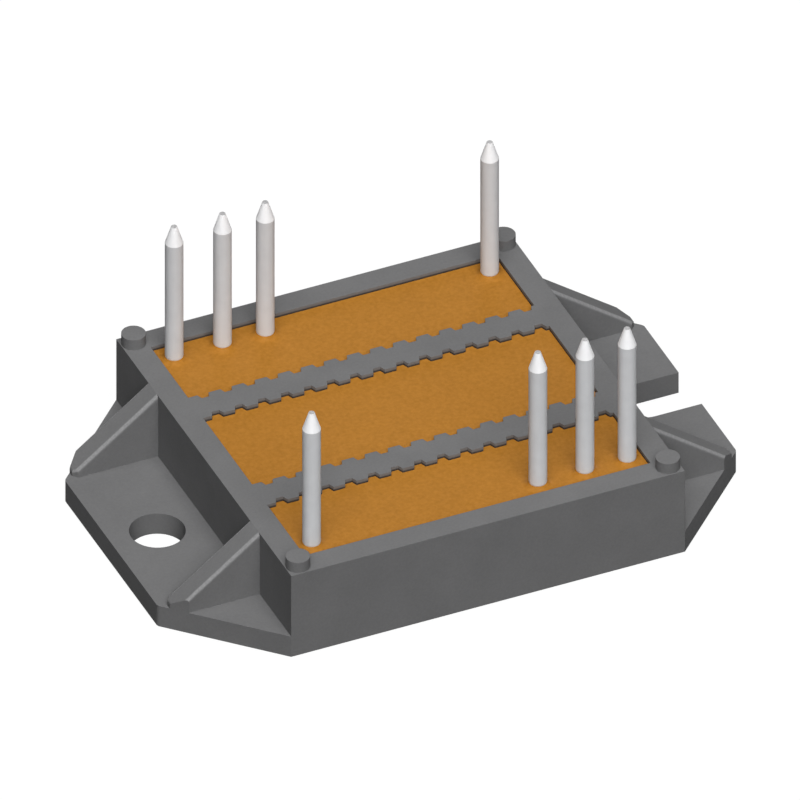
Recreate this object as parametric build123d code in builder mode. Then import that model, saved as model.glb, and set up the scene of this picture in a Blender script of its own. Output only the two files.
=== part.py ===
from build123d import *
import os

os.makedirs("parts", exist_ok=True)

# A power module: a moulded grey frame with two screw flanges, closed below by a
# copper and ceramic base plate and above by hard orange potting, with eight pins.
# Millimetres. X runs along the flanges, the origin lies under the middle of the
# base plate, on the face that is pressed against a heat sink.

# Moulded frame
body_side = 32.2
body_height = 7.56
wall = 1.95
flange_thickness = 1.9
flange_reach = 7.58
flange_corner_radius = 0.5
screw_hole_diameter = 4.25
screw_centres = 39.78

# Gussets between the flanges and the body
gusset_spacing = 18.71
gusset_thickness = 1.93
gusset_reach = 6.87
gusset_toe_height = 0.45
gusset_toe_chamfer = 0.35
gusset_edge_radius = 0.3

# Toothed bars across the frame, their notches narrowing inwards
bar_centres = 11.77
bar_width = 2.76
notch_mouth = 0.94
notch_depth = 0.46
notch_angle = 69
notch_pitch = 1.884
first_notch = 1.21

# Stand-off stubs on the rim, and how far they stay in from its outer faces
stub_diameter = 1.85
stub_height = 0.95
stub_margin = 0.05

# Base plate: copper, ceramic and copper, bonded into a ledge under the frame
base_copper_thickness = 0.3
ceramic_thickness = 0.63
pad_thickness = 0.3
base_proud = 0.1
ledge_width = 0.75
bead_width = 0.2
base_copper_margin = 0.7
base_copper_corner = 1.0

# Circuit copper: gaps, and the lines along which its areas are parted
pad_edge_gap = 0.2
pad_gap = 0.6
pad_corner = 0.4
pin_pad_depth = 3.7
middle_line = -1.0
load_left_line = -1.6
load_right_line = 2.0
strip_width = 4.35

# Casting levels
potting_recess = 0.43
potting_depth = 2.65

# Pins: a round shaft on a square root that is cast in, from a square foot up
pin_diameter = 1.4
pin_neck_diameter = 1.2
pin_neck_height = 0.39
pin_root_side = 0.84
pin_foot_side = 1.9
pin_foot_height = 0.4
pin_tip_diameter = 0.46
pin_cone_length = 1.5
pin_above_rim = 11.95

# Pin places: insets from the inner faces of the frame, then steps from pin to pin
outer_pin_inset = 1.25
pin_row_inset = 1.5
back_step_outer = 3.95
back_step_inner = 3.5
front_step_outer = 3.45
front_step_inner = 3.85

# Chips and their solder
solder_thickness = 0.1
chip_thickness = 0.35
thyristor_side = 8.6
diode_side = 7.0

# Bond wires: drawn with a few flats round and a few bends along
wire_diameter = 0.38
wire_flats = 6
wire_squash = 0.05
wire_foot = 0.7
wire_shoulder = 0.9
wire_rise = 1.3
wire_inset = 1.6
power_wire_pitch = 1.9
power_wire_count = 3

# Levels worked out from the sizes above
ceramic_z = base_copper_thickness
pad_z = ceramic_z + ceramic_thickness
solder_z = pad_z + pad_thickness
chip_z = solder_z + solder_thickness
chip_top = chip_z + chip_thickness
frame_z = base_proud
rim_z = frame_z + body_height
potting_top = rim_z - potting_recess
gel_top = potting_top - potting_depth
pin_tip_z = rim_z + pin_above_rim

# Places worked out from the sizes above
body_half = body_side / 2
inner_side = body_side - 2 * wall
inner_half = inner_side / 2
flange_end = body_half + flange_reach
flange_edge_half = body_half - flange_reach
screw_x = screw_centres / 2
ledge_side = inner_side + 2 * ledge_width
ceramic_side = ledge_side - 2 * bead_width
base_copper_side = ceramic_side - 2 * base_copper_margin
bar_y = bar_centres / 2
stub_centres = body_side - 2 * stub_margin - stub_diameter
outer_pin_x = inner_half - outer_pin_inset
pin_y = inner_half - pin_row_inset
back_second = back_step_outer - outer_pin_x
back_pins_x = [-outer_pin_x, back_second, back_second + back_step_inner, outer_pin_x]
front_third = outer_pin_x - front_step_outer
front_pins_x = [-outer_pin_x, front_third - front_step_inner, front_third, outer_pin_x]
notch_room = inner_side - first_notch - notch_mouth / 2
notch_count = int(notch_room // notch_pitch) + 1
notch_x = [first_notch - inner_half + notch_pitch * i for i in range(notch_count)]
pin_places = [(x, pin_y) for x in back_pins_x] + [(x, -pin_y) for x in front_pins_x]


# A row of notch shapes along one edge of a bar, their mouths on the edge
def notch_row(edge_y, turn, mode):
    with Locations(*[(x, edge_y) for x in notch_x]):
        Trapezoid(
            notch_mouth,
            notch_depth,
            notch_angle,
            rotation=turn,
            align=(Align.CENTER, Align.MIN),
            mode=mode,
        )


# Gusset: slopes from the rim down to a low blunt toe on the flange. The toe's upright
# edges are chamfered, the slope's edges are rounded, and then the outer end is cut
# flush with the slanted side of the flange.
slant_side = Plane(origin=(body_half, body_half, 0), z_dir=(1, 1, 0))
with BuildPart() as gusset:
    with BuildSketch(Plane.XZ.offset(gusset_thickness / 2 - gusset_spacing / 2)):
        with BuildLine():
            Polyline(
                (body_half - wall / 2, frame_z + flange_thickness / 2),
                (body_half - wall / 2, rim_z),
                (body_half, rim_z),
                (body_half + gusset_reach, frame_z + flange_thickness + gusset_toe_height),
                (body_half + gusset_reach, frame_z + flange_thickness / 2),
                close=True,
            )
        make_face()
    extrude(amount=-gusset_thickness)
    chamfer(edges().filter_by(Axis.Z).group_by(Axis.X)[-1], length=gusset_toe_chamfer)
    slope = faces().sort_by(lambda face: face.normal_at().X + face.normal_at().Z)[-1]
    fillet(slope.edges().sort_by(Axis.X)[1:], radius=gusset_edge_radius)
    split(bisect_by=slant_side, keep=Keep.BOTTOM)

# Housing: frame, flanges, gussets, toothed bars and stubs, moulded as one piece
with BuildPart() as housing:
    with BuildSketch(Plane.XY.offset(frame_z)):
        Rectangle(body_side, body_side)
    extrude(amount=body_height)

    # Flanges with sides slanted at 45 degrees from the corners of the body
    with BuildSketch(Plane.XY.offset(frame_z)):
        with BuildLine():
            Polyline(
                (0, body_half),
                (body_half, body_half),
                (flange_end, flange_edge_half),
                (flange_end, -flange_edge_half),
                (body_half, -body_half),
                (0, -body_half),
                close=True,
            )
        make_face()
        fillet(vertices().group_by(Axis.X)[-1], radius=flange_corner_radius)
        mirror(about=Plane.YZ)
    extrude(amount=flange_thickness)

    # Four gussets
    add(gusset.part)
    mirror(gusset.part, about=Plane.XZ)
    mirror(gusset.part, about=Plane.YZ)
    mirror(mirror(gusset.part, about=Plane.XZ, mode=Mode.PRIVATE), about=Plane.YZ)

    # Opening through the body, and the ledge that the base plate fits into
    with BuildSketch(Plane.XY.offset(frame_z)):
        Rectangle(inner_side, inner_side)
    extrude(amount=body_height, mode=Mode.SUBTRACT)
    with BuildSketch(Plane.XY.offset(frame_z)):
        Rectangle(ledge_side, ledge_side)
    extrude(amount=pad_z - frame_z, mode=Mode.SUBTRACT)

    # Two bars notched along both sides, rooted in the walls, as deep as the potting
    with BuildSketch(Plane.XY.offset(gel_top)):
        with GridLocations(0, bar_centres, 1, 2):
            Rectangle(inner_side + wall, bar_width)
        for centre_y in (-bar_y, bar_y):
            notch_row(centre_y - bar_width / 2, 0, Mode.SUBTRACT)
            notch_row(centre_y + bar_width / 2, 180, Mode.SUBTRACT)
    extrude(amount=rim_z - gel_top)

    # Stubs at the corners of the rim
    with BuildSketch(Plane.XY.offset(rim_z)):
        with GridLocations(stub_centres, stub_centres, 2, 2):
            Circle(stub_diameter / 2)
    extrude(amount=stub_height)

    # Round screw hole on the left, open slot on the right
    with BuildSketch(Plane.XY.offset(frame_z)):
        with Locations((-screw_x, 0), (screw_x, 0)):
            Circle(screw_hole_diameter / 2)
        with Locations((screw_x, 0)):
            Rectangle(flange_reach, screw_hole_diameter, align=(Align.MIN, Align.CENTER))
    extrude(amount=flange_thickness, mode=Mode.SUBTRACT)
housing.part.label = "housing"
export_step(housing.part, "parts/housing.step")

# Base copper: the face that meets the heat sink
with BuildPart() as base_copper:
    with BuildSketch():
        RectangleRounded(base_copper_side, base_copper_side, base_copper_corner)
    extrude(amount=base_copper_thickness)
base_copper.part.label = "base_copper"
export_step(base_copper.part, "parts/base_copper.step")

# Ceramic plate: insulates the base copper from the circuit
with BuildPart() as ceramic_plate:
    with BuildSketch(Plane.XY.offset(ceramic_z)):
        Rectangle(ceramic_side, ceramic_side)
    extrude(amount=ceramic_thickness)
ceramic_plate.part.label = "ceramic_plate"
export_step(ceramic_plate.part, "parts/ceramic_plate.step")

# Adhesive bead: fills the gap between the ceramic's edge and the frame
with BuildPart() as adhesive_bead:
    with BuildSketch(Plane.XY.offset(ceramic_z)):
        Rectangle(ledge_side, ledge_side)
        Rectangle(ceramic_side, ceramic_side, mode=Mode.SUBTRACT)
    extrude(amount=ceramic_thickness)
adhesive_bead.part.label = "adhesive_bead"
export_step(adhesive_bead.part, "parts/adhesive_bead.step")

# Circuit copper: the lines between the pads, each pad_gap wide
pad_reach = inner_half - pad_edge_gap
gap_half = pad_gap / 2
gate_line = (back_pins_x[0] + back_pins_x[1]) / 2
sense_line = (back_pins_x[1] + back_pins_x[2]) / 2
front_line = (front_pins_x[1] + front_pins_x[2]) / 2
pin_pad_line = pad_reach - pin_pad_depth
strip_line = strip_width - pad_reach
copper_areas = {
    "gate_pad": [(-pad_reach, gate_line - gap_half, pin_pad_line + gap_half, pad_reach)],
    "sense_pad": [
        (gate_line + gap_half, sense_line - gap_half, pin_pad_line + gap_half, pad_reach),
    ],
    "load_pad": [
        (sense_line + gap_half, load_right_line - gap_half, pin_pad_line + gap_half, pad_reach),
        (load_left_line + gap_half, load_right_line - gap_half, middle_line + gap_half, pad_reach),
    ],
    "thyristor_pad": [
        (-pad_reach, load_left_line - gap_half, middle_line + gap_half, pin_pad_line - gap_half),
        (-pad_reach, strip_line - gap_half, -pad_reach, pin_pad_line - gap_half),
    ],
    "back_diode_pad": [
        (load_right_line + gap_half, pad_reach, middle_line + gap_half, pad_reach),
    ],
    "front_diode_pad": [
        (strip_line + gap_half, front_line - gap_half, -pad_reach, middle_line - gap_half),
    ],
    "front_pin_pad": [
        (front_line + gap_half, pad_reach, -pad_reach, middle_line - gap_half),
    ],
}
pads = {}
for pad_name, areas in copper_areas.items():
    with BuildPart() as pad:
        with BuildSketch(Plane.XY.offset(pad_z)):
            for left, right, front, back in areas:
                with Locations(((left + right) / 2, (front + back) / 2)):
                    Rectangle(right - left, back - front)
            chamfer(vertices(), length=pad_corner)
        extrude(amount=pad_thickness)
    pad.part.label = pad_name
    export_step(pad.part, f"parts/{pad_name}.step")
    pads[pad_name] = pad.part

# Chips, each on its own sheet of solder in the middle of its pad
chip_places = {
    "thyristor": (
        (load_left_line - gap_half - pad_reach) / 2,
        (pin_pad_line + middle_line) / 2,
        thyristor_side,
    ),
    "back_diode": (
        (load_right_line + gap_half + pad_reach) / 2,
        (pin_pad_line + middle_line) / 2,
        diode_side,
    ),
    "front_diode": (
        (strip_line + front_line) / 2 + diode_side / 3,
        (middle_line - gap_half - pad_reach) / 2,
        diode_side,
    ),
}
chips = {}
solders = {}
for chip_name, (chip_x, chip_y, chip_side) in chip_places.items():
    with BuildPart() as solder:
        with BuildSketch(Plane.XY.offset(solder_z)):
            with Locations((chip_x, chip_y)):
                Rectangle(chip_side, chip_side)
        extrude(amount=solder_thickness)
    solder.part.label = f"{chip_name}_solder"
    export_step(solder.part, f"parts/{chip_name}_solder.step")
    solders[chip_name] = solder.part
    with BuildPart() as chip:
        with BuildSketch(Plane.XY.offset(chip_z)):
            with Locations((chip_x, chip_y)):
                Rectangle(chip_side, chip_side)
        extrude(amount=chip_thickness)
    chip.part.label = f"{chip_name}_chip"
    export_step(chip.part, f"parts/{chip_name}_chip.step")
    chips[chip_name] = chip.part


# One bond wire: a loop from a chip's top face down to a copper pad, with a
# straight foot at each end, set a little too low so that its foot comes out flat
def bond_wire(chip_x, chip_y, pad_x, pad_y):
    seat = wire_diameter / 2 - wire_squash
    start = Vector(chip_x, chip_y, chip_top + seat)
    end = Vector(pad_x, pad_y, solder_z + seat)
    along = Vector(pad_x - chip_x, pad_y - chip_y, 0).normalized()
    up = Vector(0, 0, chip_top + wire_rise)
    first_shoulder = Vector(chip_x, chip_y, 0) + along * (wire_foot + wire_shoulder) + up
    second_shoulder = Vector(pad_x, pad_y, 0) - along * (wire_foot + wire_shoulder) + up
    with BuildPart() as wire:
        with BuildLine() as loop:
            Polyline(
                start,
                start + along * wire_foot,
                first_shoulder,
                second_shoulder,
                end - along * wire_foot,
                end,
            )
        with BuildSketch(Plane(origin=start, x_dir=(0, 0, 1), z_dir=along)):
            RegularPolygon(wire_diameter / 2, wire_flats, rotation=180 / wire_flats, major_radius=True)
        sweep(path=loop.line, transition=Transition.RIGHT)
    return wire.part


# Where the wires of each group start and end
thyristor_x, thyristor_y, _ = chip_places["thyristor"]
back_diode_x, back_diode_y, _ = chip_places["back_diode"]
front_diode_x, front_diode_y, _ = chip_places["front_diode"]
load_x = (load_left_line + load_right_line) / 2
wire_steps = [power_wire_pitch * (i - (power_wire_count - 1) / 2) for i in range(power_wire_count)]
thyristor_edge = thyristor_side / 2
pin_clear = pin_y - pin_foot_side / 2 - wire_foot / 2
wire_groups = {
    "thyristor_wires": ("thyristor", "load_pad", [
        (thyristor_x + thyristor_edge - wire_inset, thyristor_y + step,
         load_x - wire_foot / 4, thyristor_y + step)
        for step in wire_steps
    ]),
    "back_diode_wires": ("back_diode", "load_pad", [
        (back_diode_x - diode_side / 2 + wire_inset, back_diode_y + step + power_wire_pitch / 2,
         load_x + wire_foot / 4, back_diode_y + step + power_wire_pitch / 2)
        for step in wire_steps
    ]),
    "front_diode_wires": ("front_diode", "front_pin_pad", [
        (front_diode_x + diode_side / 2 - wire_inset, front_diode_y + step,
         front_line + gap_half + wire_inset, front_diode_y + step)
        for step in wire_steps
    ]),
    "gate_wire": ("thyristor", "gate_pad", [
        (thyristor_x - thyristor_edge + wire_foot, thyristor_y + thyristor_edge - wire_inset,
         thyristor_x - thyristor_edge + wire_foot, pin_clear),
    ]),
    "sense_wire": ("thyristor", "sense_pad", [
        (back_pins_x[1], thyristor_y + thyristor_edge - wire_inset, back_pins_x[1], pin_clear),
    ]),
}
wires = {}
for group_name, (chip_name, pad_name, runs) in wire_groups.items():
    loops = [bond_wire(*run) for run in runs]
    with BuildPart() as wire_group:
        add(loops)
        add(chips[chip_name], mode=Mode.SUBTRACT)
        add(pads[pad_name], mode=Mode.SUBTRACT)
    wire_group.part.label = group_name
    export_step(wire_group.part, f"parts/{group_name}.step")
    wires[group_name] = wire_group.part

# Pins: a square foot on the copper, a square root up to the top of the casting,
# and above it a round shaft with a slightly narrower neck and a blunt cone
pins = []
for number, (pin_x, pin_place_y) in enumerate(pin_places, start=1):
    with BuildPart() as pin:
        with BuildSketch(Plane((pin_x, pin_place_y, solder_z))):
            Rectangle(pin_foot_side, pin_foot_side)
        extrude(amount=pin_foot_height)
        with BuildSketch(Plane((pin_x, pin_place_y, solder_z))):
            Rectangle(pin_root_side, pin_root_side)
        extrude(amount=potting_top - solder_z)
        with BuildSketch(Plane((pin_x, pin_place_y, 0), x_dir=(1, 0, 0), z_dir=(0, -1, 0))):
            with BuildLine():
                Polyline(
                    (0, potting_top),
                    (pin_neck_diameter / 2, potting_top),
                    (pin_diameter / 2, potting_top + pin_neck_height),
                    (pin_diameter / 2, pin_tip_z - pin_cone_length),
                    (pin_tip_diameter / 2, pin_tip_z),
                    (0, pin_tip_z),
                    close=True,
                )
            make_face()
        revolve(axis=Axis((pin_x, pin_place_y, 0), (0, 0, 1)))
    pin.part.label = f"pin_{number}"
    export_step(pin.part, f"parts/pin_{number}.step")
    pins.append(pin.part)

# Silicone gel: soft filling over the circuit, cast round everything in it
with BuildPart() as silicone_gel:
    with BuildSketch(Plane.XY.offset(pad_z)):
        Rectangle(inner_side, inner_side)
    extrude(amount=gel_top - pad_z)
    add(list(pads.values()), mode=Mode.SUBTRACT)
    add(list(solders.values()), mode=Mode.SUBTRACT)
    add(list(chips.values()), mode=Mode.SUBTRACT)
    add(list(wires.values()), mode=Mode.SUBTRACT)
    add(pins, mode=Mode.SUBTRACT)
silicone_gel.part.label = "silicone_gel"
export_step(silicone_gel.part, "parts/silicone_gel.step")

# Hard potting: three fields between the walls and the bars, keyed into the notches.
# Each field's front and back edge, then its toothed edges and how they are turned.
bar_edge_near = bar_y - bar_width / 2
bar_edge_far = bar_y + bar_width / 2
potting_fields = {
    "potting_back": (bar_edge_far, inner_half, [(bar_edge_far, 180)]),
    "potting_middle": (-bar_edge_near, bar_edge_near, [(-bar_edge_near, 180), (bar_edge_near, 0)]),
    "potting_front": (-inner_half, -bar_edge_far, [(-bar_edge_far, 0)]),
}
for field_name, (front, back, toothed_edges) in potting_fields.items():
    with BuildPart() as potting:
        with BuildSketch(Plane.XY.offset(gel_top)):
            with Locations((0, (front + back) / 2)):
                Rectangle(inner_side, back - front)
            for edge_y, turn in toothed_edges:
                notch_row(edge_y, turn, Mode.ADD)
        extrude(amount=potting_depth)
        add(pins, mode=Mode.SUBTRACT)
    potting.part.label = field_name
    export_step(potting.part, f"parts/{field_name}.step")
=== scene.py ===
# %% [markdown]
# # A potted power module
# This lesson dresses a power module: a moulded grey frame with two screw flanges,
# filled with hard orange resin, with eight tinned pins standing out of it.
# The measured solids come in first. Everything after that is surface: what each
# piece is made of, what its finish does to light, and the few soft shapes, such as
# the resin's raised edge, that a measured solid leaves out.

import bpy
import math
from mathutils import Vector, Matrix
from mathutils.geometry import delaunay_2d_cdt
from mathutils.kdtree import KDTree


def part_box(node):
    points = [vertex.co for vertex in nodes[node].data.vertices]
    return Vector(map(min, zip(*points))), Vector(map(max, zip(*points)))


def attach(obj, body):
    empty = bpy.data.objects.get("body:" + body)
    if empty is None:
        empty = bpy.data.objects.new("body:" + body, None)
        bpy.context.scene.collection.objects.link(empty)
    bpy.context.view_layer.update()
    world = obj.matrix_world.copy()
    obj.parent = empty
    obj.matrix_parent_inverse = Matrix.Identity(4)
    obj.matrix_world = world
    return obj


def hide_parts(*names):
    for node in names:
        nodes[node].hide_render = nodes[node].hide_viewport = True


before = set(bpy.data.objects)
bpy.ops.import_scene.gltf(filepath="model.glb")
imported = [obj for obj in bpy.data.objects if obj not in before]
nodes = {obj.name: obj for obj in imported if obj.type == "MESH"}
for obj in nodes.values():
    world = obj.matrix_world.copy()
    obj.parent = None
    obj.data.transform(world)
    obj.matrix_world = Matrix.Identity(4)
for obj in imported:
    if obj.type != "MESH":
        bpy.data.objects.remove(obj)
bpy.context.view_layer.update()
MM = 0.001

# %% [markdown]
# ## The camera
# The picture to match has no perspective: edges that run the same way stay parallel
# all through it. A camera of the orthographic type draws that, and its only size is
# the width that it takes in. The direction was measured from the slopes of the
# flange edges and from how round the hole looks: 24 degrees round to the left of
# straight ahead, and 37 degrees up.

# %% The camera's directions
view_turn = math.radians(23.956)
view_rise = math.radians(36.996)

view_right = Vector((math.cos(view_turn), -math.sin(view_turn), 0))
view_back = Vector((
    -math.sin(view_turn) * math.cos(view_rise),
    -math.cos(view_turn) * math.cos(view_rise),
    math.sin(view_rise),
))
view_up = view_back.cross(view_right)
print("the camera looks along", [round(-c, 3) for c in view_back])

# %% Place the camera
pixels_per_mm = 13.3817
picture_width = 800
aim_height = 8.127 * MM
aim_left = 0.046 * MM
camera_distance = 0.4
farthest_seen = 5

camera_data = bpy.data.cameras.new("camera")
camera_data.type = "ORTHO"
camera_data.ortho_scale = picture_width / pixels_per_mm * MM
camera_data.clip_end = farthest_seen
camera = bpy.data.objects.new("camera", camera_data)
bpy.context.scene.collection.objects.link(camera)
aim = Vector((0, 0, aim_height)) - view_right * aim_left
turn = Matrix((view_right, view_up, view_back)).transposed().to_4x4()
camera.matrix_world = Matrix.Translation(aim + view_back * camera_distance) @ turn
bpy.context.scene.camera = camera
bpy.context.scene.view_settings.view_transform = "Standard"
print("the camera takes in", round(camera_data.ortho_scale / MM, 2), "mm")

# %% [markdown]
# ## White surroundings
# The background is plain white. The floor could be lit until it burns out, but then
# so would the module. Instead the floor and the world shine for the rays that the eye
# sees straight, in a reflection or through something clear, and stay nearly dark for
# the rays that carry light to the module. A Light Path node tells these rays apart.
# Worlds and finishes are both trees of nodes, so the first three helpers add a node,
# do arithmetic with a Math node, and stretch one range of numbers onto another.

# %% Add a node, do arithmetic, stretch a range
def add_node(tree, kind, **settings):
    node = tree.nodes.new(kind)
    for key, value in settings.items():
        if hasattr(node, key):
            setattr(node, key, value)
        else:
            node.inputs[key.replace("_", " ")].default_value = value
    return node


def calculate(tree, operation, *values):
    node = add_node(tree, "ShaderNodeMath", operation=operation)
    for socket, value in zip(node.inputs, values):
        if isinstance(value, bpy.types.NodeSocket):
            tree.links.new(value, socket)
        else:
            socket.default_value = value
    return node.outputs[0]


def rescale(tree, value, start, end, low=0.0, high=1.0):
    node = add_node(
        tree, "ShaderNodeMapRange", From_Min=start, From_Max=end, To_Min=low, To_Max=high
    )
    tree.links.new(value, node.inputs["Value"])
    return node.outputs["Result"]


# %% The world
ambient = 0.02


def seen_rays(tree):
    path = add_node(tree, "ShaderNodeLightPath")
    first = calculate(
        tree, "MAXIMUM", path.outputs["Is Camera Ray"], path.outputs["Is Glossy Ray"]
    )
    return calculate(tree, "MAXIMUM", first, path.outputs["Is Transmission Ray"])


world = bpy.data.worlds.new("white_room")
world.use_nodes = True
bpy.context.scene.world = world
room = world.node_tree
sky = room.nodes["Background"]
sky.inputs["Color"].default_value = (1, 1, 1, 1)
brightness = rescale(room, seen_rays(room), start=0, end=1, low=ambient, high=1)
room.links.new(brightness, sky.inputs["Strength"])
print("the world lights the module at", ambient)

# %% [markdown]
# The floor shines in the same way, a little short of white. The rest of its white
# comes from a weak grey that only the lamps can light. Where the module keeps them
# off, that rest is missing, and this is the module's soft shadow. The floor lies a
# hair below the module, because two faces in one plane would fight in the render. It
# needs a finish, so the helper that starts one comes here.

# %% Start a finish
def new_finish(name, colour, roughness, metallic=0.0, gloss=0.5):
    finish = bpy.data.materials.new(name)
    finish.use_nodes = True
    shader = finish.node_tree.nodes["Principled BSDF"]
    shader.inputs["Base Color"].default_value = (*colour, 1)
    shader.inputs["Roughness"].default_value = roughness
    shader.inputs["Metallic"].default_value = metallic
    shader.inputs["Specular IOR Level"].default_value = gloss
    return finish, finish.node_tree, shader


# %% The floor
floor_half = 1.5
floor_drop = 0.02 * MM
floor_grey = 0.06
floor_glow = 0.96

floor_mesh = bpy.data.meshes.new("floor")
floor_mesh.from_pydata(
    [(-floor_half, -floor_half, 0), (floor_half, -floor_half, 0),
     (floor_half, floor_half, 0), (-floor_half, floor_half, 0)],
    [],
    [(0, 1, 2, 3)],
)
floor = bpy.data.objects.new("floor", floor_mesh)
floor.location.z = -floor_drop
bpy.context.scene.collection.objects.link(floor)
floor_finish, tree, shader = new_finish(
    "pale_floor", (floor_grey,) * 3, roughness=0.9, gloss=0.0
)
shader.inputs["Emission Color"].default_value = (1, 1, 1, 1)
glow = calculate(tree, "MULTIPLY", seen_rays(tree), floor_glow)
tree.links.new(glow, shader.inputs["Emission Strength"])
floor_mesh.materials.append(floor_finish)
print("the floor glows at", floor_glow, "and is", floor_grey, "grey under the lamps")

# %% [markdown]
# ## Light
# In the picture the tops are brightest, the front a little darker and the left sides
# quite dark, and nothing throws a hard shadow. So the main light is a very broad one,
# high and in front, a little to the left, helped by a second one from lower down and
# a third straight above. The last is a weak and low one, straight behind: here it
# only grazes the tops, but the back would be black without it. A sun lamp with a
# wide angle acts like a large soft box far away, with the same strength everywhere.

# %% Lamps
def soft_sun(name, towards, strength, width_degrees):
    data = bpy.data.lights.new(name, "SUN")
    data.energy = strength
    data.angle = math.radians(width_degrees)
    lamp = bpy.data.objects.new(name, data)
    lamp.rotation_euler = Vector(towards).to_track_quat("Z", "Y").to_euler()
    bpy.context.scene.collection.objects.link(lamp)
    print(name, "of strength", strength, "is", width_degrees, "degrees wide")


soft_sun("key_light", (-0.18, -0.52, 0.835), strength=2.20, width_degrees=50)
soft_sun("front_light", (-0.20, -0.80, 0.56), strength=0.86, width_degrees=36)
soft_sun("top_light", (0.0, 0.0, 1.0), strength=0.56, width_degrees=24)
soft_sun("back_light", (0.38, 0.86, 0.16), strength=0.45, width_degrees=40)

# %% [markdown]
# ## Grain, and what it steers
# No real surface has one even colour. Every finish below starts from a noise over the
# piece's own coordinates, which are real metres here, so a scale of 5000 gives grains
# about a fifth of a millimetre wide. A picture could be wrapped round the piece
# instead, but a noise needs no unwrapping and has detail at any distance. Its values
# crowd round a half, so the helpers stretch the middle of its range over the number
# or the colour that it steers.

# %% Noise in real metres
def grain(tree, scale, detail, stretch=(1, 1, 1)):
    place = add_node(tree, "ShaderNodeTexCoord")
    squeeze = add_node(tree, "ShaderNodeMapping", Scale=stretch)
    tree.links.new(place.outputs["Object"], squeeze.inputs["Vector"])
    noise = add_node(tree, "ShaderNodeTexNoise", Scale=scale, Detail=detail)
    tree.links.new(squeeze.outputs["Vector"], noise.inputs["Vector"])
    return noise.outputs["Fac"]


# %% Let a noise steer a number or a colour
noise_low = 0.3
noise_high = 0.7


def spread(tree, source, low, high):
    return rescale(tree, source, noise_low, noise_high, low, high)


def tint(tree, source, dark, light):
    ramp = add_node(tree, "ShaderNodeValToRGB")
    dark_stop, light_stop = ramp.color_ramp.elements
    dark_stop.position = noise_low
    dark_stop.color = (*dark, 1)
    light_stop.position = noise_high
    light_stop.color = (*light, 1)
    tree.links.new(source, ramp.inputs["Fac"])
    return ramp.outputs["Color"]


# %% [markdown]
# Two noises mixed, one fine and one broad, look more like a real surface than either.
# The Mix node that does it can also lay one colour over another where a mask says so.
# It has sockets for every kind of data under the same few names, so the ones for
# numbers and for colours are picked by their places.

# %% Mix two noises, and lay one colour over another
share_socket = 0
number_sockets = (2, 3)
colour_sockets = (6, 7)
number_result = 0
colour_result = 2


def blend_noise(tree, first, second, share):
    mix = add_node(tree, "ShaderNodeMix", data_type="FLOAT")
    mix.inputs[share_socket].default_value = share
    for source, socket in zip((first, second), number_sockets):
        tree.links.new(source, mix.inputs[socket])
    return mix.outputs[number_result]


def lay_over(tree, under, over, mask):
    mix = add_node(tree, "ShaderNodeMix", data_type="RGBA")
    tree.links.new(mask, mix.inputs[share_socket])
    for source, socket in zip((under, over), colour_sockets):
        tree.links.new(source, mix.inputs[socket])
    return mix.outputs[colour_result]


# %% [markdown]
# The last helpers end a finish: one connects its colour and its roughness, one
# presses a noise into the surface as a fine relief, and one gives the finish to the
# measured pieces. The relief is a bump, which turns the surface's direction for the
# light and moves nothing. These grains are far too fine for a mesh to follow.

# %% Connect a finish, press in its relief, give it to pieces
def connect(tree, shader, colour, roughness=None):
    tree.links.new(colour, shader.inputs["Base Color"])
    if roughness is not None:
        tree.links.new(roughness, shader.inputs["Roughness"])


def relief(tree, shader, source, depth_mm, strength, base=None):
    bump = add_node(tree, "ShaderNodeBump", Strength=strength, Distance=depth_mm * MM)
    tree.links.new(source, bump.inputs["Height"])
    if base is not None:
        tree.links.new(base, bump.inputs["Normal"])
    tree.links.new(bump.outputs["Normal"], shader.inputs["Normal"])


def give(finish, *names):
    for name in names:
        mesh = nodes[name].data
        mesh.materials.clear()
        mesh.materials.append(finish)
    print(finish.name, "on", ", ".join(names))


# %% [markdown]
# ## The moulded frame
# The frame is a glass-filled plastic, moulded grey. Such a surface is matt, with a
# fine even grain from the tool. Moulded edges are never quite sharp, and the Bevel
# node rounds them for the light only. The rounded edges of the gussets are in the
# solid, and a painted highlight makes their colour lighter. They could be picked out
# face by face. Instead a mask finds them: only they lean in all three directions at
# once, so the product of the three parts of the surface's direction is large only there.

# %% Find the rounded edges
def rounded_edges(tree, start, full):
    surface = add_node(tree, "ShaderNodeNewGeometry")
    split = add_node(tree, "ShaderNodeSeparateXYZ")
    tree.links.new(surface.outputs["Normal"], split.inputs["Vector"])
    product = split.outputs["X"]
    for part in ("Y", "Z"):
        product = calculate(tree, "MULTIPLY", product, split.outputs[part])
    return rescale(tree, calculate(tree, "ABSOLUTE", product), start, full)


# %% [markdown]
# Inside the frame, the plastic just above the resin is darkened: a painted shade
# where wall and resin meet. That band goes by place alone: low enough, and no further
# out than the inner faces of the walls. Both limits come from the measured resin. One
# mask for each direction fades from full to nothing, and the three are multiplied.

# %% Find the band just above the resin
def shade_band_above_resin(tree, node, band_mm, wall_mm):
    far_x, far_y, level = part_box(node)[1]
    place = add_node(tree, "ShaderNodeTexCoord")
    split = add_node(tree, "ShaderNodeSeparateXYZ")
    tree.links.new(place.outputs["Object"], split.inputs["Vector"])
    limits = (("X", far_x, wall_mm), ("Y", far_y, wall_mm), ("Z", level, band_mm))
    share = 1.0
    for part, start, fade_mm in limits:
        distance = calculate(tree, "ABSOLUTE", split.outputs[part])
        nothing = start + fade_mm * MM
        full = start + fade_mm * MM / 2
        share = calculate(tree, "MULTIPLY", share, rescale(tree, distance, nothing, full))
    return share


# %% Moulded plastic
edge_radius = 0.06 * MM
edge_samples = 4

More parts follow.
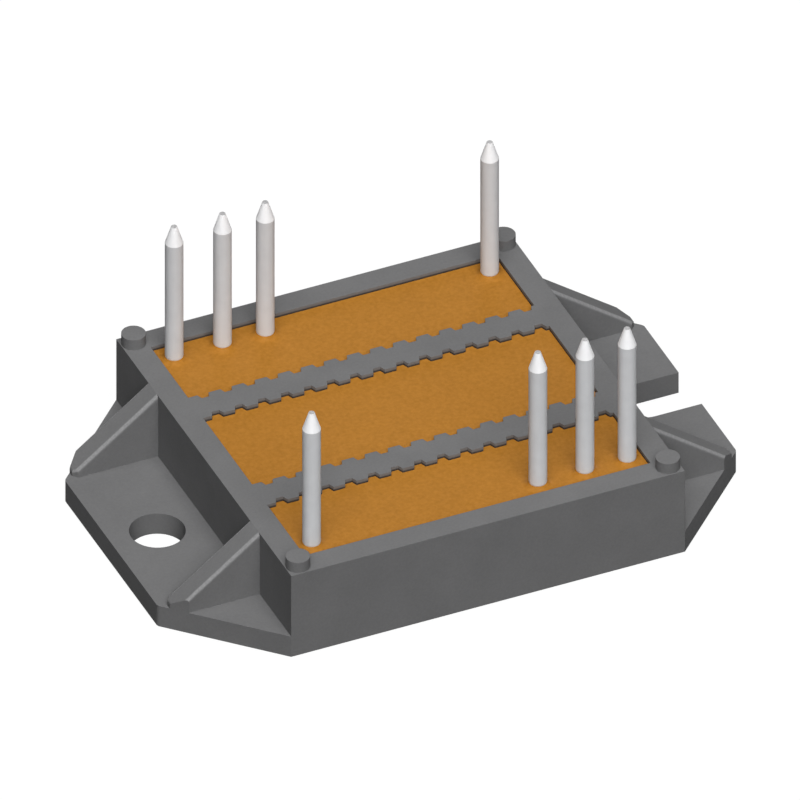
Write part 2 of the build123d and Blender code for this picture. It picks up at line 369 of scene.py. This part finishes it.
plastic, tree, shader = new_finish(
    "moulded_grey_plastic", (0.178, 0.178, 0.18), roughness=0.85, gloss=0.02
)
fine = grain(tree, scale=5200, detail=4)
flow = grain(tree, scale=260, detail=3)
mottle = blend_noise(tree, fine, flow, share=0.55)
body = tint(tree, mottle, dark=(0.166, 0.166, 0.168), light=(0.200, 0.200, 0.202))
# painted highlight: the rounded gusset edges get a lighter colour
painted_edge_highlight = tint(tree, fine, dark=(0.245, 0.245, 0.248), light=(0.305, 0.305, 0.308))
# painted shade: a dark band on the plastic just above the resin
painted_joint_shade = tint(tree, fine, dark=(0.044, 0.041, 0.038), light=(0.068, 0.064, 0.060))
body_and_edge_highlight = lay_over(tree, body, painted_edge_highlight, mask=rounded_edges(tree, start=0.03, full=0.14))
painted_shade_mask = shade_band_above_resin(tree, "potting_back", band_mm=0.25, wall_mm=0.2)
connect(
    tree, shader,
    colour=lay_over(tree, body_and_edge_highlight, painted_joint_shade, mask=painted_shade_mask),
    roughness=spread(tree, fine, low=0.80, high=0.92),
)
edge = add_node(tree, "ShaderNodeBevel", samples=edge_samples, Radius=edge_radius)
relief(tree, shader, fine, depth_mm=0.014, strength=0.7, base=edge.outputs["Normal"])
give(plastic, "housing")

# %% [markdown]
# ## Tinned pins
# The pins are copper wire with a dull tin coat. Tin that isn't melted after plating
# scatters light widely, so the shafts look pale grey rather than like mirrors, and
# nearly all of their look is diffuse. Drawing left faint lines along them, which a
# noise stretched along Z gives. The cones were pressed into shape after plating,
# which polished them a little, and their near-white colour is a painted highlight.
# Then the ends were sheared, which left them grey. Three finishes could go on three
# sets of faces. One finish with two masks is simpler, and the masks go by how far a face looks
# up.

# %% Find the faces that look up
cone_faces = (0.15, 0.25)
level_faces = (0.90, 0.97)


def faces_up(tree, start, full):
    surface = add_node(tree, "ShaderNodeNewGeometry")
    split = add_node(tree, "ShaderNodeSeparateXYZ")
    tree.links.new(surface.outputs["True Normal"], split.inputs["Vector"])
    return rescale(tree, split.outputs["Z"], start, full)


# %% Dull tin
along_the_pin = (1, 1, 0.06)
polish = 0.15

pin_names = [name for name in nodes if name.startswith("pin_")]
tin, tree, shader = new_finish(
    "dull_tin_plating", (0.73, 0.74, 0.755), roughness=0.70, gloss=0.03
)
drawn = grain(tree, scale=3000, detail=2, stretch=along_the_pin)
cloud = grain(tree, scale=900, detail=3)
bloom = blend_noise(tree, cloud, drawn, share=0.4)
plated = tint(tree, bloom, dark=(0.70, 0.707, 0.722), light=(0.765, 0.773, 0.788))
# painted highlight: the cones get a near-white colour
painted_cone_highlight = tint(tree, cloud, dark=(0.93, 0.93, 0.94), light=(0.97, 0.97, 0.98))
torn = grain(tree, scale=6000, detail=2)
sheared = tint(tree, torn, dark=(0.39, 0.385, 0.39), light=(0.60, 0.595, 0.60))
cone = faces_up(tree, *cone_faces)
tip = faces_up(tree, *level_faces)
side_colour = lay_over(tree, plated, painted_cone_highlight, mask=cone)
connect(
    tree, shader,
    colour=lay_over(tree, side_colour, sheared, mask=tip),
    roughness=spread(tree, cloud, low=0.62, high=0.78),
)
cone_alone = calculate(tree, "SUBTRACT", cone, tip)
shine = calculate(tree, "MULTIPLY", cone_alone, polish)
tree.links.new(shine, shader.inputs["Metallic"])
relief(tree, shader, drawn, depth_mm=0.004, strength=0.5)
give(tin, *pin_names)

# %% [markdown]
# ## Hard orange resin
# The resin is poured last, round the pins and up to the walls. It is opaque, with a
# satin skin, a fine speckle from its mineral filler and faint clouds where that
# filler has settled. So its colour follows two noises mixed, while the roughness of
# the skin follows the clouds alone.

# %% Orange resin
resin, tree, shader = new_finish(
    "hard_orange_resin", (0.45, 0.188, 0.024), roughness=0.60, gloss=0.05
)
speckle = grain(tree, scale=3400, detail=4)
cloud = grain(tree, scale=420, detail=3)
settled = blend_noise(tree, speckle, cloud, share=0.2)
connect(
    tree, shader,
    colour=tint(tree, settled, dark=(0.390, 0.164, 0.021), light=(0.485, 0.209, 0.033)),
    roughness=spread(tree, cloud, low=0.40, high=0.52),
)
relief(tree, shader, speckle, depth_mm=0.010, strength=0.5)
print("resin colour", [round(c, 3) for c in shader.inputs["Base Color"].default_value[:3]])

# %% [markdown]
# Wet resin clings to what it touches, so its edge climbs a little at every wall, tooth
# and pin before it sets. A measured solid has a flat top there, so each field of resin
# is made again as a mesh with that raised edge. First its outline is read off the
# measured solid: the edges of its top face that belong to one triangle only, chained
# into loops. The loop with the most points runs along the walls and teeth, and each
# of the others is the hole for a pin. The outline is in millimetres, because the
# triangulation below works better away from tiny numbers.

# %% Read the outline of a flat top
level_slack = 0.001
outline_digits = 4


def flat_place(corner):
    return tuple(round(c / MM, outline_digits) for c in corner[:2])


def top_loops(name):
    mesh = nodes[name].data
    level = max(vertex.co.z for vertex in mesh.vertices)
    lowest = level - level_slack * MM
    spot = [flat_place(v.co) if v.co.z > lowest else None for v in mesh.vertices]
    sides = set()
    for face in mesh.polygons:
        corners = [spot[i] for i in face.vertices]
        if None not in corners:
            sides.update(zip(corners, corners[1:] + corners[:1]))
    following = {a: b for a, b in sides if (b, a) not in sides}
    loops = []
    while following:
        start, point = following.popitem()
        loop = [start]
        while point != start:
            loop.append(point)
            point = following.pop(point)
        loops.append([Vector(p) for p in loop])
    loops.sort(key=len)
    return loops[-1], loops[:-1], level


# %% [markdown]
# The pins stand on narrow necks that widen upwards, and the resin is highest right at
# the neck. So the hole for a pin has to be a little wider than at the flat top: as
# wide as the neck is where the climbing resin ends. The neck is measured as rings: at
# each height of the pin's points, how far they lie from its middle.

# %% Measure the necks of the pins
height_digits = 3


def neck_rings(name):
    low, high = (Vector(c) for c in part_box(name))
    middle = (low + high) / 2
    rings = {}
    for vertex in nodes[name].data.vertices:
        reach = math.hypot(vertex.co.x - middle.x, vertex.co.y - middle.y) / MM
        height = round(vertex.co.z / MM, height_digits)
        rings[height] = max(rings.get(height, 0), reach)
    return (middle.x / MM, middle.y / MM), rings


pin_necks = [neck_rings(name) for name in pin_names]
print("pin places", [tuple(round(c, 2) for c in place) for place, _ in pin_necks])

# %% The hole that a pin needs
pin_climb = 0.30
least_neck = 0.1


def pin_ring(hole, level):
    centre = sum(hole, Vector((0, 0))) / len(hole)
    place, neck = min(pin_necks, key=lambda pin: (Vector(pin[0]) - centre).length)
    base = max(z for z in neck if z < level / MM + level_slack)
    shoulder = min(z for z in neck if z > base + least_neck)
    flare = (neck[shoulder] - neck[base]) / (shoulder - base)
    return place, neck[base] + flare * pin_climb


# %% [markdown]
# The raised edge follows a simple rule. Right at the wall or pin it has its full
# height, and from there it falls with the square of what is left of its reach, steeply
# at first and then ever more gently. At the walls it is a trace that ends after a
# third of a millimetre, but up the narrow necks of the pins the resin climbs three
# tenths of a millimetre, and reaches half a millimetre out. A tree of points, the
# KDTree, quickly finds how near the next wall or pin is.

# %% How high the resin climbs
wall_climb = 0.025
climb_reach = 0.36
pin_reach = 0.52


def distance_to(points):
    if not points:
        return lambda p: math.inf
    tree = KDTree(len(points))
    for i, point in enumerate(points):
        tree.insert((point.x, point.y, 0), i)
    tree.balance()
    return lambda p: tree.find((p[0], p[1], 0))[2]


def climb(wall_distance, pin_distance):
    wall_share = max(0.0, 1 - wall_distance / climb_reach) ** 2
    pin_share = max(0.0, 1 - pin_distance / pin_reach) ** 2
    return max(wall_climb * wall_share, pin_climb * pin_share)


# %% [markdown]
# For a mesh to show that curve, it needs close rows of points along every edge, and
# few in the middle. The outline is divided into short steps, and each step sends one
# point inward at every offset. In the notches such a point can land too near the
# opposite side, and is then left out.

# %% Points along a border
edge_step = 0.24
ring_points = 36


def divided(loop, step):
    points = []
    for a, b in zip(loop, loop[1:] + loop[:1]):
        parts = max(1, math.ceil((b - a).length / step))
        points += [a.lerp(b, i / parts) for i in range(parts)]
    return points


def circle(place, radius, count=ring_points):
    return [
        Vector((place[0] + radius * math.cos(math.tau * i / count),
                place[1] + radius * math.sin(math.tau * i / count)))
        for i in range(count)
    ]


# %% Close rows along every border
row_offsets = (0.04, 0.09, 0.16, 0.25, 0.36, 0.52)
least_share = 0.93


def close_rows(edge, rings, to_wall):
    points = []
    for offset in row_offsets:
        for a, b in zip(edge, edge[1:] + edge[:1]):
            along = (b - a).normalized()
            inward = a + Vector((-along.y, along.x)) * offset
            if to_wall(inward) > offset * least_share:
                points.append(inward)
        for place, radius in rings:
            points += circle(place, radius + offset)
    return points


# %% A loose grid in the middle
middle_step = 0.9
middle_clearance = 0.6


def loose_grid(outer, to_wall, to_pin):
    left, right = min(p.x for p in outer), max(p.x for p in outer)
    front, back = min(p.y for p in outer), max(p.y for p in outer)
    points = []
    for i in range(int((right - left) / middle_step)):
        for j in range(int((back - front) / middle_step)):
            shift = 0.5 * (j % 2)
            x = left + middle_step * (i + 0.5 + shift)
            y = front + middle_step * (j + 0.5)
            point = Vector((x, y))
            if min(to_wall(point), to_pin(point)) > middle_clearance:
                points.append(point)
    return points


# %% [markdown]
# A constrained triangulation joins all these points and keeps the outline and the
# holes as they are. It is told to leave out what lies outside or in a hole. A plain
# grid would be less work, but it would cut across the notches and the pins.

# %% Join the points into a surface
wall_sample_step = 0.03
ring_samples = 240
inside_with_holes = 2
weld_distance = 1e-5


def field_surface(outer, rings):
    edge = divided(outer, edge_step)
    to_wall = distance_to(divided(outer, wall_sample_step))
    to_pin = distance_to([
        point for place, radius in rings for point in circle(place, radius, ring_samples)
    ])
    points = list(edge)
    borders = [range(len(edge))]
    for place, radius in rings:
        borders.append(range(len(points), len(points) + ring_points))
        points += circle(place, radius)
    points += close_rows(edge, rings, to_wall)
    points += loose_grid(outer, to_wall, to_pin)
    joins = []
    for border in borders:
        joins += [(border[k], border[(k + 1) % len(border)]) for k in range(len(border))]
    flat, _, faces, *_ = delaunay_2d_cdt(points, joins, [], inside_with_holes, weld_distance)
    heights = [climb(to_wall(p), to_pin(p)) for p in flat]
    return flat, heights, faces


# %% [markdown]
# A surface alone would be an open sheet. Real resin has a body, so the sheet gets a
# copy at the bottom of the pour, turned over, and a wall all round every border. The
# borders are once more the sides that only one triangle has.

# %% Give the field its body
def closed_body(flat, heights, faces, top, bottom):
    count = len(flat)
    corners = [(p.x * MM, p.y * MM, top + h * MM) for p, h in zip(flat, heights)]
    corners += [(p.x * MM, p.y * MM, bottom) for p in flat]
    skin = [tuple(face) for face in faces]
    sides = {(face[k], face[(k + 1) % len(face)]) for face in skin for k in range(len(face))}
    skin += [tuple(i + count for i in reversed(face)) for face in faces]
    skin += [(b, a, a + count, b + count) for a, b in sides if (b, a) not in sides]
    return corners, skin


# %% Hand over a new piece
def new_piece(name, corners, faces, finish, replaced, smooth_below):
    mesh = bpy.data.meshes.new(name)
    mesh.from_pydata(corners, [], faces)
    mesh.validate()
    mesh.shade_smooth()
    mesh.set_sharp_from_angle(angle=math.radians(smooth_below))
    mesh.materials.append(finish)
    piece = bpy.data.objects.new(name, mesh)
    bpy.context.scene.collection.objects.link(piece)
    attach(piece, "root")
    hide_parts(replaced)
    print(name, len(mesh.vertices), "points,", len(mesh.polygons), "faces")


# %% Pour the three fields
resin_smooth_below = 40

for field in ("back", "middle", "front"):
    node = f"potting_{field}"
    outer, holes, level = top_loops(node)
    rings = [pin_ring(hole, level) for hole in holes]
    flat, heights, faces = field_surface(outer, rings)
    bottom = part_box(node)[0][2]
    corners, skin = closed_body(flat, heights, faces, level, bottom)
    new_piece(
        f"resin_{field}", corners, skin, resin, node, resin_smooth_below
    )

# %% [markdown]
# ## Copper and ceramic
# The base plate is a sheet of alumina with copper bonded to both sides. The copper
# shows under the module: it was rolled, which leaves faint lines one way, and then
# handled, which leaves warm and brown clouds of thin oxide. The same copper forms the
# circuit inside, which nobody touched, so it stayed brighter. The two could be copies
# of one finish, changed by hand. A function makes both, because they differ only in
# the depth of the brown and in how close the lines are.

# %% Bonded copper
bright_copper = (0.74, 0.37, 0.23)
rolled_way = (0.03, 1, 1)


def copper_finish(name, dull, lines):
    finish, tree, shader = new_finish(name, bright_copper, roughness=0.35, metallic=1.0)
    oxide = grain(tree, scale=140, detail=5)
    rolled = grain(tree, scale=lines, detail=2, stretch=rolled_way)
    clouded = blend_noise(tree, oxide, rolled, share=0.3)
    connect(
        tree, shader,
        colour=tint(tree, clouded, dark=dull, light=bright_copper),
        roughness=spread(tree, oxide, low=0.46, high=0.30),
    )
    relief(tree, shader, rolled, depth_mm=0.003, strength=0.6)
    return finish


handled = copper_finish("rolled_base_copper", dull=(0.48, 0.23, 0.14), lines=2600)
etched = copper_finish("etched_circuit_copper", dull=(0.56, 0.27, 0.16), lines=3600)
give(handled, "base_copper")
give(etched, *[name for name in nodes if name.endswith("_pad")])

# %% [markdown]
# The ceramic between the coppers is nearly white and slightly grainy. A bead of white
# silicone glues its edge to the frame and keeps the soft gel in. It is smoother than
# the ceramic, but its skin ripples where the nozzle passed.

# %% Fired alumina
alumina, tree, shader = new_finish(
    "fired_alumina", (0.82, 0.82, 0.80), roughness=0.55, gloss=0.4
)
grit = grain(tree, scale=7000, detail=3)
connect(tree, shader, tint(tree, grit, dark=(0.77, 0.77, 0.75), light=(0.86, 0.86, 0.84)))
relief(tree, shader, grit, depth_mm=0.006, strength=0.5)
give(alumina, "ceramic_plate")

# %% Silicone adhesive
sealant, tree, shader = new_finish(
    "cured_silicone_adhesive", (0.72, 0.72, 0.70), roughness=0.38, gloss=0.4
)
ripple = grain(tree, scale=700, detail=3)
connect(
    tree, shader,
    colour=tint(tree, ripple, dark=(0.66, 0.66, 0.63), light=(0.77, 0.77, 0.75)),
    roughness=spread(tree, ripple, low=0.30, high=0.46),
)
relief(tree, shader, ripple, depth_mm=0.05, strength=0.6)
give(sealant, "adhesive_bead")

# %% [markdown]
# ## What the gel covers
# Under the resin lie the chips on their solder, the bond wires and a clear soft gel.
# None of it can be seen from outside, but each still gets its own finish, so that the
# module can be cut open or drawn without its resin. A power chip is coated with
# aluminium on top and shows dark silicon at its sawn edges. That makes two colours
# again, and the mask for faces that look up parts them.

# %% Chips
silicon, tree, shader = new_finish(
    "metallised_silicon", (0.10, 0.11, 0.13), roughness=0.3, metallic=1.0
)
saw_marks = grain(tree, scale=4000, detail=3)
coating = grain(tree, scale=2500, detail=4)
sawn = tint(tree, saw_marks, dark=(0.07, 0.08, 0.10), light=(0.13, 0.14, 0.16))
coated = tint(tree, coating, dark=(0.66, 0.66, 0.68), light=(0.78, 0.78, 0.80))
connect(
    tree, shader,
    colour=lay_over(tree, sawn, coated, mask=faces_up(tree, *level_faces)),
    roughness=spread(tree, coating, low=0.24, high=0.38),
)
give(silicon, *[name for name in nodes if name.endswith("_chip")])

# %% [markdown]
# Solder sets in small crystals, which make it dull and uneven. The gel is the only
# clear finish here: nearly all light passes through it, bent as silicone bends it.

# %% Solder
solder, tree, shader = new_finish(
    "dull_soft_solder", (0.52, 0.53, 0.55), roughness=0.48, metallic=1.0
)
crystals = grain(tree, scale=1400, detail=5)
connect(
    tree, shader,
    colour=tint(tree, crystals, dark=(0.42, 0.43, 0.45), light=(0.60, 0.61, 0.63)),
    roughness=spread(tree, crystals, low=0.40, high=0.58),
)
relief(tree, shader, crystals, depth_mm=0.01, strength=0.6)
give(solder, *[name for name in nodes if name.endswith("_solder")])

# %% Clear gel
gel_clearness = 0.92
gel_bending = 1.41

gel, tree, shader = new_finish(
    "clear_soft_gel", (0.93, 0.95, 0.95), roughness=0.06, gloss=0.5
)
shader.inputs["Transmission Weight"].default_value = gel_clearness
shader.inputs["IOR"].default_value = gel_bending
haze = grain(tree, scale=120, detail=3)
skin_waves = grain(tree, scale=300, detail=2)
connect(
    tree, shader,
    colour=tint(tree, haze, dark=(0.90, 0.93, 0.93), light=(0.96, 0.97, 0.97)),
    roughness=spread(tree, skin_waves, low=0.04, high=0.10),
)
give(gel, "silicone_gel")

# %% [markdown]
# ## Bond wires
# Thick aluminium wire is pressed onto the chip with ultrasound, drawn over in a loop
# and pressed onto the copper. The measured wires have a few flat sides and a few
# bends. A curve with a round bevel would be quick, but it couldn't have flat feet.
# So each wire is swept again point by point, as a round tube along a smooth arch
# between the same two feet, and the underside of each foot is pressed flat.

# %% Drawn aluminium
aluminium, tree, shader = new_finish(
    "drawn_aluminium_wire", (0.80, 0.80, 0.81), roughness=0.30, metallic=1.0
)
scored = grain(tree, scale=5000, detail=2)
connect(
    tree, shader,
    colour=tint(tree, scored, dark=(0.74, 0.74, 0.75), light=(0.86, 0.86, 0.87)),
    roughness=spread(tree, scored, low=0.24, high=0.38),
)
relief(tree, shader, scored, depth_mm=0.003, strength=0.5)
print("wire colour", [round(c, 3) for c in shader.inputs["Base Color"].default_value[:3]])

# %% [markdown]
# The arch is a cubic curve. It leaves one foot towards a handle above it and comes
# down to the other foot from a second handle. Such a curve rises to three quarters of
# the height of its handles, so they are put four thirds as high as the wanted peak.

# %% The line of a wire
foot_length = 0.7
handle_inset = 0.9
curve_share = 3 / 4
arch_steps = 20


def arch(start, end, peak):
    along = Vector((end.x - start.x, end.y - start.y, 0)).normalized()
    foot = along * foot_length
    rise = Vector((0, 0, 1))
    points = [start, start + foot * 0.5]
    first, last = start + foot, end - foot
    lift_first = first + along * handle_inset + rise * (peak - first.z) / curve_share
    lift_last = last - along * handle_inset + rise * (peak - last.z) / curve_share
    for i in range(arch_steps + 1):
        t = i / arch_steps
        points.append(
            first * (1 - t) ** 3 + lift_first * 3 * t * (1 - t) ** 2
            + lift_last * 3 * t * t * (1 - t) + last * t ** 3
        )
    return points + [end - foot * 0.5, end]


# %% A round tube with pressed feet
tube_sides = 14


def tube(points, radius, seats):
    corners, faces = [], []
    for i, point in enumerate(points):
        ahead = points[min(i + 1, len(points) - 1)] - points[max(i - 1, 0)]
        across = ahead.cross(Vector((0, 0, 1))).normalized()
        over = across.cross(ahead).normalized()
        seat = seats[0] if i < len(points) / 2 else seats[1]
        for k in range(tube_sides):
            angle = math.tau * k / tube_sides
            corner = point + (across * math.cos(angle) + over * math.sin(angle)) * radius
            corner.z = max(corner.z, seat)
            corners.append(tuple(corner * MM))
    for i in range(len(points) - 1):
        for k in range(tube_sides):
            a, b = i * tube_sides + k, i * tube_sides + (k + 1) % tube_sides
            faces.append((a, b, b + tube_sides, a + tube_sides))
    faces.append(tuple(reversed(range(tube_sides))))
    faces.append(tuple(range(len(corners) - tube_sides, len(corners))))
    return corners, faces


# %% [markdown]
# The feet come from the measured groups: a group's box says how far its wires run and
# how they lie side by side, and the end nearer to the chip's middle is the one on the
# chip. At a foot the middle of the wire lies a twentieth of a millimetre lower than a
# round wire's would. No point of the tube may lie lower than its seat, and that
# presses the underside flat.

# %% Find the feet of each group and sweep its wires
wire_radius = 0.19
squash = 0.05
wire_smooth_below = 50


def wire_group(name, chip, pad, count):
    low, high = (Vector(c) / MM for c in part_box(name))
    chip_low, chip_high = (Vector(c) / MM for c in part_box(chip))
    chip_top = chip_high.z
    pad_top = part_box(pad)[1][2] / MM
    size = high - low
    run = 0 if count > 1 or size.x > size.y else 1
    side = 1 - run
    chip_middle = (chip_low[run] + chip_high[run]) / 2
    ends = sorted((low[run], high[run]), key=lambda place: abs(place - chip_middle))
    corners, faces = [], []
    for i in range(count):
        across = (low[side] + high[side]) / 2
        if count > 1:
            across = low[side] + wire_radius + (size[side] - 2 * wire_radius) * i / (count - 1)
        start, end = Vector((0, 0, chip_top)), Vector((0, 0, pad_top))
        for point, place in ((start, ends[0]), (end, ends[1])):
            point[run], point[side] = place, across
            point.z += wire_radius - squash
        line = arch(start, end, high.z - wire_radius)
        more, skin = tube(line, wire_radius, (chip_top, pad_top))
        faces += [tuple(k + len(corners) for k in face) for face in skin]
        corners += more
    new_piece(
        f"{name}_round", corners, faces, aluminium, name, wire_smooth_below
    )


wire_group("thyristor_wires", "thyristor_chip", "load_pad", 3)
wire_group("back_diode_wires", "back_diode_chip", "load_pad", 3)
wire_group("front_diode_wires", "front_diode_chip", "front_pin_pad", 3)
wire_group("gate_wire", "thyristor_chip", "gate_pad", 1)
wire_group("sense_wire", "thyristor_chip", "sense_pad", 1)
